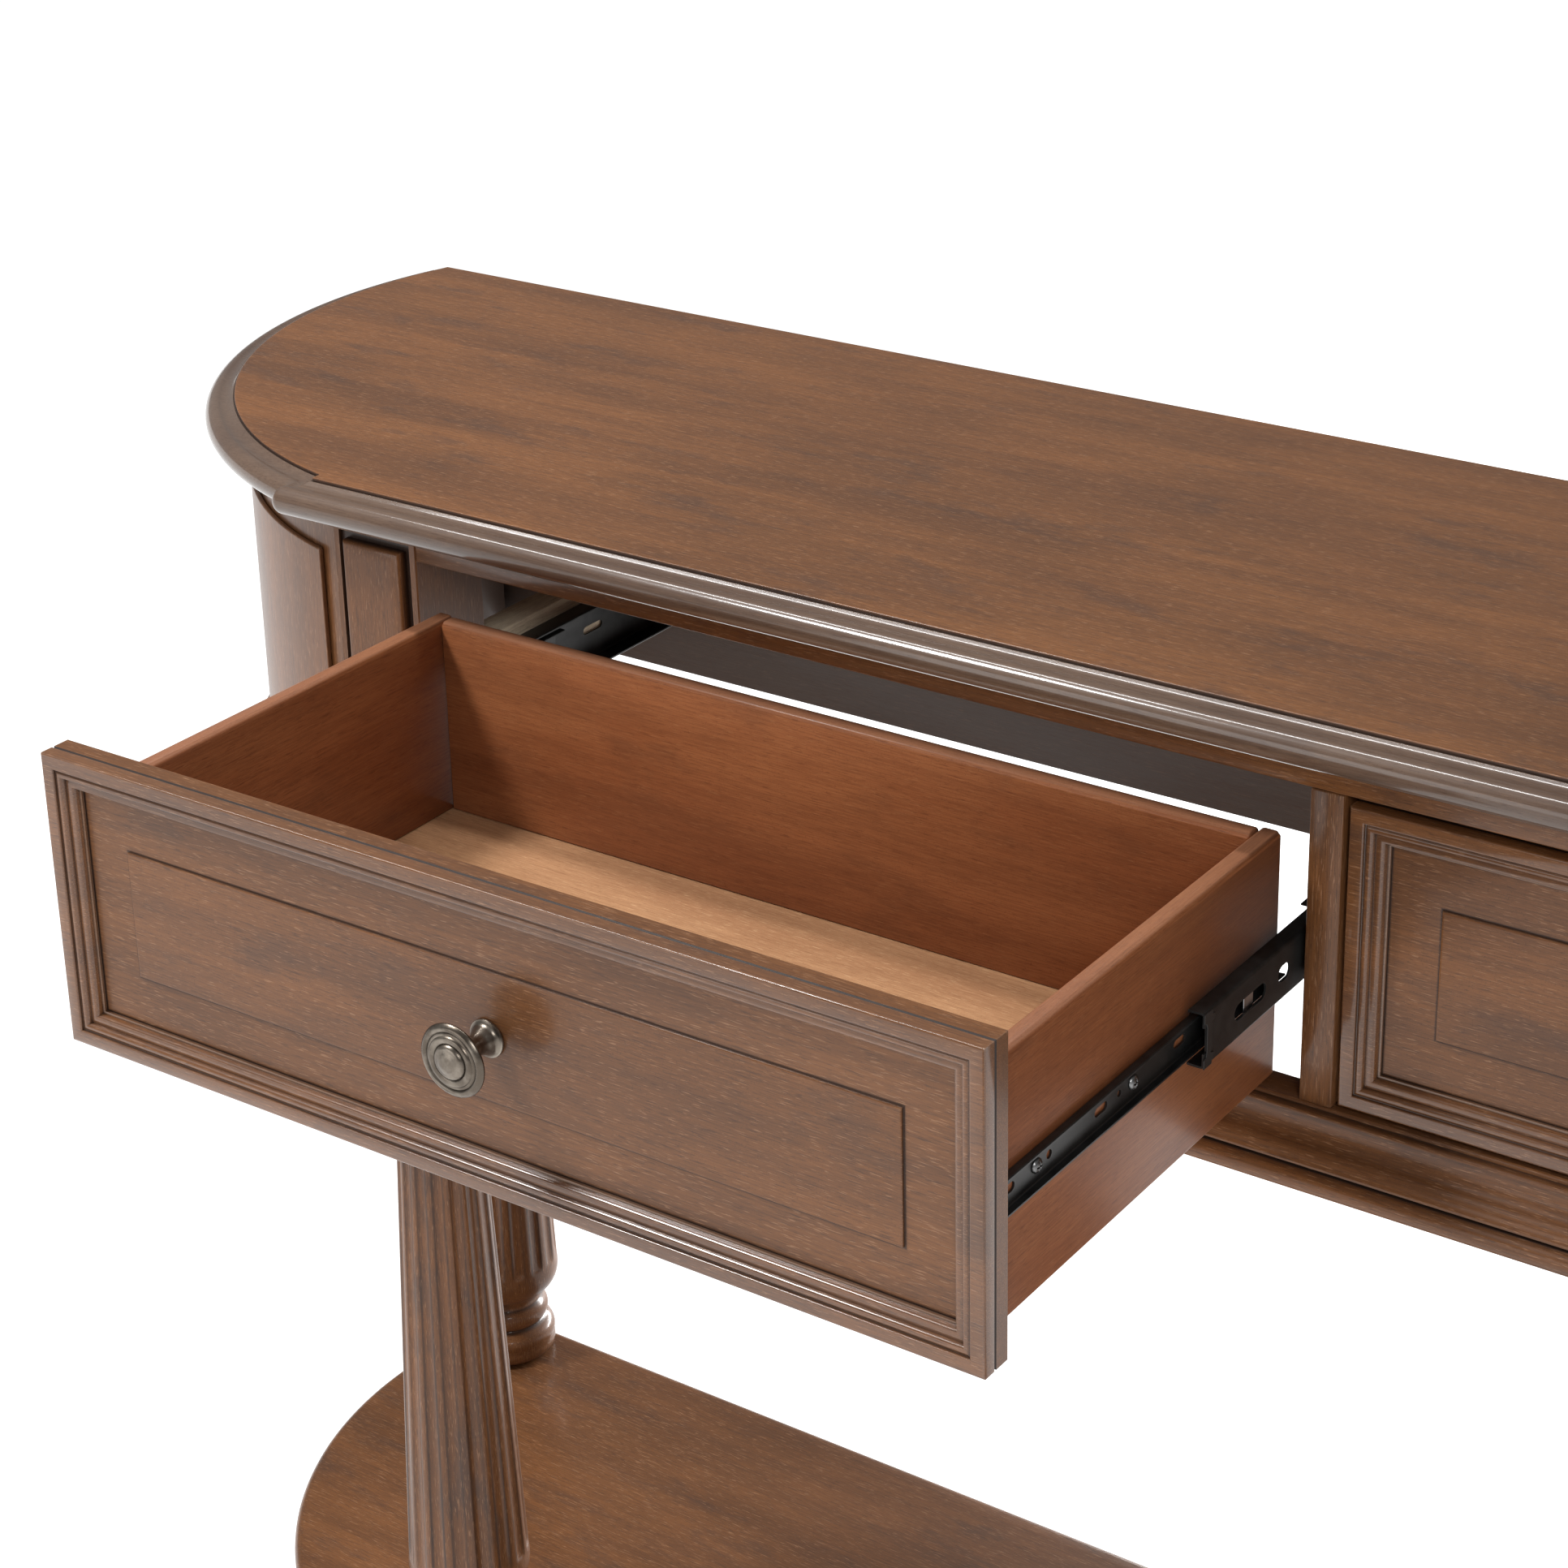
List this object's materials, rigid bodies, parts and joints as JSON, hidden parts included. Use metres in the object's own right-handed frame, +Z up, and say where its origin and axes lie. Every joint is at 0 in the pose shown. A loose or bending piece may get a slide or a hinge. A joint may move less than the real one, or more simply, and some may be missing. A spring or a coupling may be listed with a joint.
{
  "type": "console table",
  "caption": "Long console table with rounded ends, drawers on ball-bearing slides, turned fluted legs and a lower shelf, in a reddish walnut stain.",
  "frame": {"origin": "on the floor, under the middle of the bounding box with the left drawer open", "axes": "+X along the table towards its right end, +Y towards its back, +Z up"},
  "size_m": [1.572, 0.5998, 0.812],
  "materials": {
    "walnut_stain": "satin reddish walnut stain",
    "drawer_box": "orange-brown stained drawer sides",
    "raw_wood": "unfinished pale wood",
    "slide_black": "satin black coated steel",
    "antique_brass": "dark antique brass",
    "zinc": "zinc plated"
  },
  "bodies": {
    "table": {"back_board": "walnut_stain", "back_post_left": "walnut_stain", "back_post_right": "walnut_stain", "base_moulding_front": "walnut_stain", "base_moulding_left": "walnut_stain", "base_moulding_right": "walnut_stain", "centre_divider": "walnut_stain", "end_apron_left": "walnut_stain", "end_apron_right": "walnut_stain", "end_overlay_left": "walnut_stain", "end_overlay_right": "walnut_stain", "foot_back_left": "walnut_stain", "foot_back_right": "walnut_stain", "foot_front_left": "walnut_stain", "foot_front_right": "walnut_stain", "front_bottom_rail": "walnut_stain", "front_post_left": "walnut_stain", "front_post_right": "walnut_stain", "front_top_rail": "walnut_stain", "leg_back_left": "walnut_stain", "leg_back_right": "walnut_stain", "leg_bolt_back_left": "zinc", "leg_bolt_back_right": "zinc", "leg_bolt_front_left": "zinc", "leg_bolt_front_right": "zinc", "leg_front_left": "walnut_stain", "leg_front_right": "walnut_stain", "shelf": "walnut_stain", "slide_cleat_left": "raw_wood", "slide_cleat_right": "raw_wood", "slide_left_left_cabinet": "slide_black", "slide_left_right_cabinet": "slide_black", "slide_right_left_cabinet": "slide_black", "slide_right_right_cabinet": "slide_black", "top_board": "walnut_stain"},
    "drawer_left": {"drawer_left_back": "drawer_box", "drawer_left_bottom": "drawer_box", "drawer_left_frame": "walnut_stain", "drawer_left_front": "walnut_stain", "drawer_left_knob": "antique_brass", "drawer_left_knob_screw": "zinc", "drawer_left_side_left": "drawer_box", "drawer_left_side_right": "drawer_box", "slide_left_left_drawer": "slide_black", "slide_left_right_drawer": "slide_black"},
    "drawer_right": {"drawer_right_back": "drawer_box", "drawer_right_bottom": "drawer_box", "drawer_right_frame": "walnut_stain", "drawer_right_front": "walnut_stain", "drawer_right_knob": "antique_brass", "drawer_right_knob_screw": "zinc", "drawer_right_side_left": "drawer_box", "drawer_right_side_right": "drawer_box", "slide_right_left_drawer": "slide_black", "slide_right_right_drawer": "slide_black"},
    "middle_left_left": {"slide_left_left_middle": "slide_black"},
    "middle_left_right": {"slide_left_right_middle": "slide_black"},
    "middle_right_left": {"slide_right_left_middle": "slide_black"},
    "middle_right_right": {"slide_right_right_middle": "slide_black"}
  },
  "joints": [
    {"name": "drawer_left_slide", "type": "slide", "parent": "table", "child": "drawer_left", "axis": [0, -1, 0], "range_m": [-0.2615, 0]},
    {"name": "drawer_right_slide", "type": "slide", "parent": "table", "child": "drawer_right", "axis": [0, -1, 0], "range_m": [0, 0.2615]},
    {"name": "middle_left_left_slide", "type": "slide", "parent": "table", "child": "middle_left_left", "axis": [0, -1, 0], "range_m": [-0.13075, 0]},
    {"name": "middle_left_right_slide", "type": "slide", "parent": "table", "child": "middle_left_right", "axis": [0, -1, 0], "range_m": [-0.13075, 0]},
    {"name": "middle_right_left_slide", "type": "slide", "parent": "table", "child": "middle_right_left", "axis": [0, -1, 0], "range_m": [0, 0.13075]},
    {"name": "middle_right_right_slide", "type": "slide", "parent": "table", "child": "middle_right_right", "axis": [0, -1, 0], "range_m": [0, 0.13075]}
  ],
  "couplings": [
    {"joint": "middle_left_left_slide", "follows": "drawer_left_slide", "ratio": 0.5},
    {"joint": "middle_left_right_slide", "follows": "drawer_left_slide", "ratio": 0.5},
    {"joint": "middle_right_left_slide", "follows": "drawer_right_slide", "ratio": 0.5},
    {"joint": "middle_right_right_slide", "follows": "drawer_right_slide", "ratio": 0.5}
  ]
}
